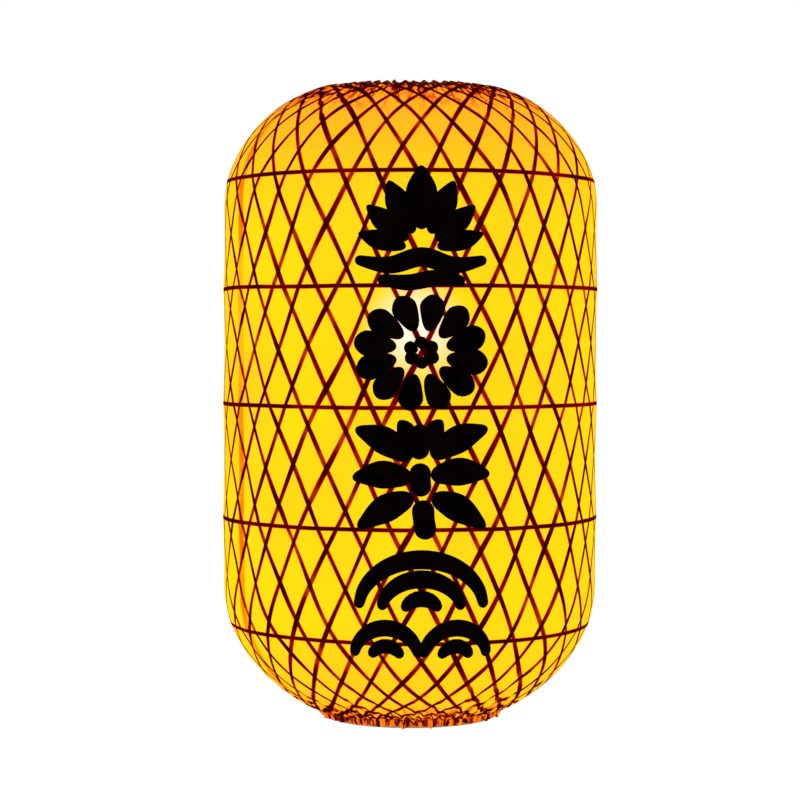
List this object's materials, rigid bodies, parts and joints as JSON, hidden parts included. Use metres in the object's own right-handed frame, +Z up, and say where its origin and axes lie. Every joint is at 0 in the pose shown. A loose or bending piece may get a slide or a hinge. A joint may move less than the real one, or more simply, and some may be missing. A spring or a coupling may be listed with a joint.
{
  "type": "hanging drum lantern",
  "caption": "Drum-shaped hanging lantern: woven split-bamboo cage with hoops under gathered cloth, hung by a swivel from a cross bar, with a swinging holder and screw-in lamp.",
  "frame": {"origin": "the inner crown of the hanging ring, where a hook carries the lantern", "axes": "+Z up along the lantern's axis, -Y towards the decorated front, +X to the viewer's right"},
  "size_m": [0.35, 0.35, 0.5925],
  "materials": {
    "cloth": "yellow woven cloth, lit from inside",
    "bamboo": "split bamboo, oiled brown",
    "ring_bamboo": "bent bamboo band",
    "steel": "zinc-plated steel wire and strap",
    "brass": "pressed brass",
    "holder_plastic": "moulded black plastic",
    "bulb_body": "white moulded housing",
    "bulb_opal": "opal diffuser",
    "bulb_metal": "rolled screw cap"
  },
  "bodies": {
    "hanger": {"hanging_ring": "steel"},
    "swivel": {"swivel_eye": "steel", "upper_washer": "brass", "lower_washer": "brass", "lower_eye_nut": "steel"},
    "lantern": {"cross_bar": "steel", "bar_rivet_left": "steel", "bar_rivet_right": "steel", "top_ring": "ring_bamboo", "bottom_ring": "ring_bamboo", "hoop_1": "bamboo", "hoop_2": "bamboo", "hoop_3": "bamboo", "hoop_4": "bamboo", "hoop_5": "bamboo", "cloth_skin": "cloth", "strip_01": "bamboo", "strip_02": "bamboo", "strip_03": "bamboo", "strip_04": "bamboo", "strip_05": "bamboo", "strip_06": "bamboo", "strip_07": "bamboo", "strip_08": "bamboo", "strip_09": "bamboo", "strip_10": "bamboo", "strip_11": "bamboo", "strip_12": "bamboo", "strip_13": "bamboo", "strip_14": "bamboo", "strip_15": "bamboo", "strip_16": "bamboo", "strip_17": "bamboo", "strip_18": "bamboo", "strip_19": "bamboo", "strip_20": "bamboo", "strip_21": "bamboo", "strip_22": "bamboo", "strip_23": "bamboo", "strip_24": "bamboo", "strip_25": "bamboo", "strip_26": "bamboo", "strip_27": "bamboo", "strip_28": "bamboo", "strip_29": "bamboo", "strip_30": "bamboo", "strip_31": "bamboo", "strip_32": "bamboo"},
    "lamp": {"lamp_yoke": "steel", "holder_collar": "steel", "holder_body": "holder_plastic", "holder_cap": "holder_plastic", "cord_inlet": "holder_plastic", "screw_shell": "brass", "holder_contact": "brass"},
    "bulb_cap": {"bulb_cap": "bulb_metal", "bulb_foot": "holder_plastic"},
    "bulb": {"bulb_housing": "bulb_body", "bulb_globe": "bulb_opal"}
  },
  "joints": [
    {"name": "lantern_swing", "type": "hinge", "parent": "hanger", "child": "swivel", "pos_m": [0, 0, -0.0185], "axis": [0, 1, 0], "range_deg": [-60, 60]},
    {"name": "lantern_spin", "type": "hinge", "parent": "swivel", "child": "lantern", "pos_m": [0, 0, -0.03], "axis": [0, 0, 1], "continuous": true},
    {"name": "lamp_swing", "type": "hinge", "parent": "swivel", "child": "lamp", "pos_m": [0, 0, -0.0466], "axis": [1, 0, 0], "range_deg": [-22, 22]},
    {"name": "bulb_travel", "type": "slide", "parent": "lamp", "child": "bulb_cap", "axis": [0, 0, -1], "range_m": [0, 0.0146]},
    {"name": "bulb_turn", "type": "hinge", "parent": "bulb_cap", "child": "bulb", "pos_m": [0, 0, -0.2], "axis": [0, 0, -1], "range_deg": [0, 1440]}
  ],
  "couplings": [
    {"joint": "bulb_travel", "follows": "bulb_turn", "m_per_rad": 0.0005776}
  ]
}
